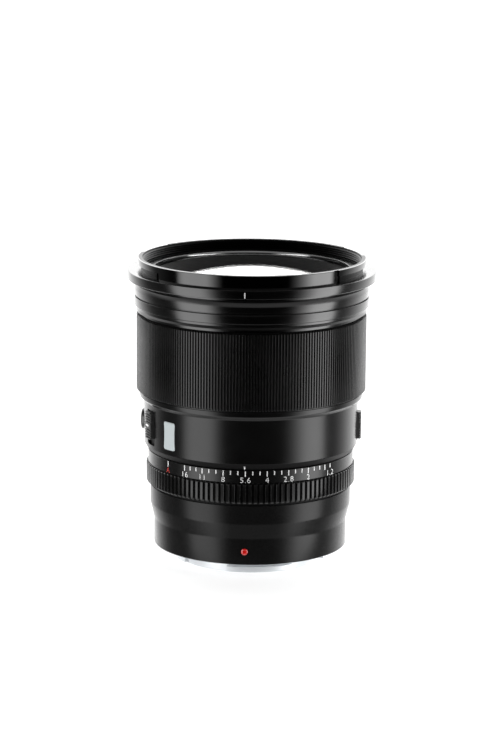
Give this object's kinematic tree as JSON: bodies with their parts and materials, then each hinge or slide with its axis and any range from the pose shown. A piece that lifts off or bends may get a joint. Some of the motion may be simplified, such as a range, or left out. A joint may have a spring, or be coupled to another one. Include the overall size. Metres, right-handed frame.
{
  "type": "camera lens",
  "caption": "Black metal prime lens with a ribbed focus ring, an aperture ring with numbers, switches, a working bladed iris and a bright rear bayonet.",
  "frame": {"origin": "centre of the bayonet's rear edge, on which the lens stands", "axes": "+Z along the optical axis towards the front glass; the index marks face -Y"},
  "size_m": [0.0874, 0.0874, 0.1077],
  "materials": {
    "gloss_black": "gloss",
    "satin_black": "satin",
    "matte_black": "matte",
    "switch_black": "satin",
    "badge_white": "gloss",
    "red_enamel": "gloss",
    "chromed_brass": "satin",
    "steel": "satin",
    "spring_steel": "polished",
    "blade_black": "matte",
    "gasket_rubber": "matte",
    "contact_plastic": "matte",
    "gold": "polished",
    "board_green": "satin",
    "carriage_plastic": "matte",
    "motor_case": "satin",
    "pinion_brass": "satin",
    "coated_glass": "polished"
  },
  "bodies": {
    "barrel": {"front_collar": "gloss_black", "front_barrel": "gloss_black", "switch_housing": "satin_black", "rear_barrel": "satin_black", "name_ring": "matte_black", "front_retainer": "matte_black", "rear_baffle": "matte_black", "rear_retainer": "matte_black", "main_barrel": "matte_black", "front_cell": "matte_black", "middle_cell": "matte_black", "rear_cell": "matte_black", "iris_base": "matte_black", "iris_cover": "matte_black", "board_switches": "switch_black", "focus_sensor": "switch_black", "badge_plate": "badge_white", "mount_index_bead": "red_enamel", "bayonet_mount": "chromed_brass", "mount_screws": "steel", "barrel_screws": "steel", "guide_rods": "steel", "detent_spring": "spring_steel", "mount_gasket": "gasket_rubber", "contact_block": "contact_plastic", "contact_pins": "gold", "circuit_board": "board_green", "switch_boards": "board_green", "focus_motor": "motor_case", "iris_motor": "motor_case", "front_element": "coated_glass", "second_element": "coated_glass", "front_doublet": "coated_glass", "middle_doublet": "coated_glass", "rear_doublet": "coated_glass", "rear_element": "coated_glass"},
    "focus_ring": {"focus_ring": "satin_black"},
    "aperture_ring": {"aperture_ring": "satin_black"},
    "af_mf_slider": {"af_mf_slider": "switch_black"},
    "click_slider": {"click_slider": "switch_black"},
    "fn_button": {"fn_button": "switch_black"},
    "iris_cam_ring": {"iris_cam_ring": "matte_black"},
    "iris_pinion": {"iris_pinion": "pinion_brass"},
    "focus_carriage": {"focus_carriage": "carriage_plastic", "focus_doublet": "coated_glass"},
    "lead_screw": {"lead_screw": "steel"},
    "iris_blade_01": {"iris_blade_01": "blade_black"},
    "iris_blade_02": {"iris_blade_02": "blade_black"},
    "iris_blade_03": {"iris_blade_03": "blade_black"},
    "iris_blade_04": {"iris_blade_04": "blade_black"},
    "iris_blade_05": {"iris_blade_05": "blade_black"},
    "iris_blade_06": {"iris_blade_06": "blade_black"},
    "iris_blade_07": {"iris_blade_07": "blade_black"},
    "iris_blade_08": {"iris_blade_08": "blade_black"},
    "iris_blade_09": {"iris_blade_09": "blade_black"},
    "iris_blade_10": {"iris_blade_10": "blade_black"},
    "iris_blade_11": {"iris_blade_11": "blade_black"}
  },
  "joints": [
    {"name": "focus_ring_turn", "type": "hinge", "parent": "barrel", "child": "focus_ring", "pos_m": [0, 0, 0.0743], "axis": [0, 0, 1], "continuous": true},
    {"name": "aperture_ring_turn", "type": "hinge", "parent": "barrel", "child": "aperture_ring", "pos_m": [0, 0, 0.0333], "axis": [0, 0, 1], "range_deg": [-52.4, 48.8]},
    {"name": "focus_mode_slide", "type": "slide", "parent": "barrel", "child": "af_mf_slider", "axis": [0, 0, 1], "range_m": [-0.002, 0]},
    {"name": "click_slide", "type": "slide", "parent": "barrel", "child": "click_slider", "axis": [0, 0, 1], "range_m": [0, 0.002]},
    {"name": "function_press", "type": "slide", "parent": "barrel", "child": "fn_button", "axis": [1, 0, 0], "range_m": [0, 0.0004], "stiffness_N_per_m": 800, "springref_m": -0.0004},
    {"name": "iris_cam_turn", "type": "hinge", "parent": "barrel", "child": "iris_cam_ring", "pos_m": [0, 0, 0.0638], "axis": [0, 0, 1], "range_deg": [0, 24]},
    {"name": "iris_blade_01_turn", "type": "hinge", "parent": "barrel", "child": "iris_blade_01", "pos_m": [0.0277, 0, 0.061], "axis": [0, 0, 1], "range_deg": [0, 36.1]},
    {"name": "iris_blade_02_turn", "type": "hinge", "parent": "barrel", "child": "iris_blade_02", "pos_m": [0.0233, 0.01498, 0.061], "axis": [0, 0, 1], "range_deg": [0, 36.1]},
    {"name": "iris_blade_03_turn", "type": "hinge", "parent": "barrel", "child": "iris_blade_03", "pos_m": [0.01151, 0.0252, 0.061], "axis": [0, 0, 1], "range_deg": [0, 36.1]},
    {"name": "iris_blade_04_turn", "type": "hinge", "parent": "barrel", "child": "iris_blade_04", "pos_m": [-0.00394, 0.02742, 0.061], "axis": [0, 0, 1], "range_deg": [0, 36.1]},
    {"name": "iris_blade_05_turn", "type": "hinge", "parent": "barrel", "child": "iris_blade_05", "pos_m": [-0.01814, 0.02093, 0.061], "axis": [0, 0, 1], "range_deg": [0, 36.1]},
    {"name": "iris_blade_06_turn", "type": "hinge", "parent": "barrel", "child": "iris_blade_06", "pos_m": [-0.02658, 0.0078, 0.061], "axis": [0, 0, 1], "range_deg": [0, 36.1]},
    {"name": "iris_blade_07_turn", "type": "hinge", "parent": "barrel", "child": "iris_blade_07", "pos_m": [-0.02658, -0.0078, 0.061], "axis": [0, 0, 1], "range_deg": [0, 36.1]},
    {"name": "iris_blade_08_turn", "type": "hinge", "parent": "barrel", "child": "iris_blade_08", "pos_m": [-0.01814, -0.02093, 0.061], "axis": [0, 0, 1], "range_deg": [0, 36.1]},
    {"name": "iris_blade_09_turn", "type": "hinge", "parent": "barrel", "child": "iris_blade_09", "pos_m": [-0.00394, -0.02742, 0.061], "axis": [0, 0, 1], "range_deg": [0, 36.1]},
    {"name": "iris_blade_10_turn", "type": "hinge", "parent": "barrel", "child": "iris_blade_10", "pos_m": [0.01151, -0.0252, 0.061], "axis": [0, 0, 1], "range_deg": [0, 36.1]},
    {"name": "iris_blade_11_turn", "type": "hinge", "parent": "barrel", "child": "iris_blade_11", "pos_m": [0.0233, -0.01498, 0.061], "axis": [0, 0, 1], "range_deg": [0, 36.1]},
    {"name": "iris_pinion_turn", "type": "hinge", "parent": "barrel", "child": "iris_pinion", "pos_m": [0, -0.0339, 0.0638], "axis": [0, 0, 1], "range_deg": [-365, 0]},
    {"name": "focus_carriage_slide", "type": "slide", "parent": "barrel", "child": "focus_carriage", "axis": [0, 0, 1], "range_m": [0, 0.007]},
    {"name": "lead_screw_turn", "type": "hinge", "parent": "barrel", "child": "lead_screw", "pos_m": [0.014, 0.02425, 0.03], "axis": [0, 0, 1], "range_deg": [-2521, 0]}
  ],
  "couplings": [
    {"joint": "iris_blade_01_turn", "follows": "iris_cam_turn", "ratio": 1.5},
    {"joint": "iris_blade_02_turn", "follows": "iris_cam_turn", "ratio": 1.5},
    {"joint": "iris_blade_03_turn", "follows": "iris_cam_turn", "ratio": 1.5},
    {"joint": "iris_blade_04_turn", "follows": "iris_cam_turn", "ratio": 1.5},
    {"joint": "iris_blade_05_turn", "follows": "iris_cam_turn", "ratio": 1.5},
    {"joint": "iris_blade_06_turn", "follows": "iris_cam_turn", "ratio": 1.5},
    {"joint": "iris_blade_07_turn", "follows": "iris_cam_turn", "ratio": 1.5},
    {"joint": "iris_blade_08_turn", "follows": "iris_cam_turn", "ratio": 1.5},
    {"joint": "iris_blade_09_turn", "follows": "iris_cam_turn", "ratio": 1.5},
    {"joint": "iris_blade_10_turn", "follows": "iris_cam_turn", "ratio": 1.5},
    {"joint": "iris_blade_11_turn", "follows": "iris_cam_turn", "ratio": 1.5},
    {"joint": "iris_pinion_turn", "follows": "iris_cam_turn", "ratio": -15.143},
    {"joint": "lead_screw_turn", "follows": "focus_carriage_slide", "rad_per_m": -6283.2}
  ]
}
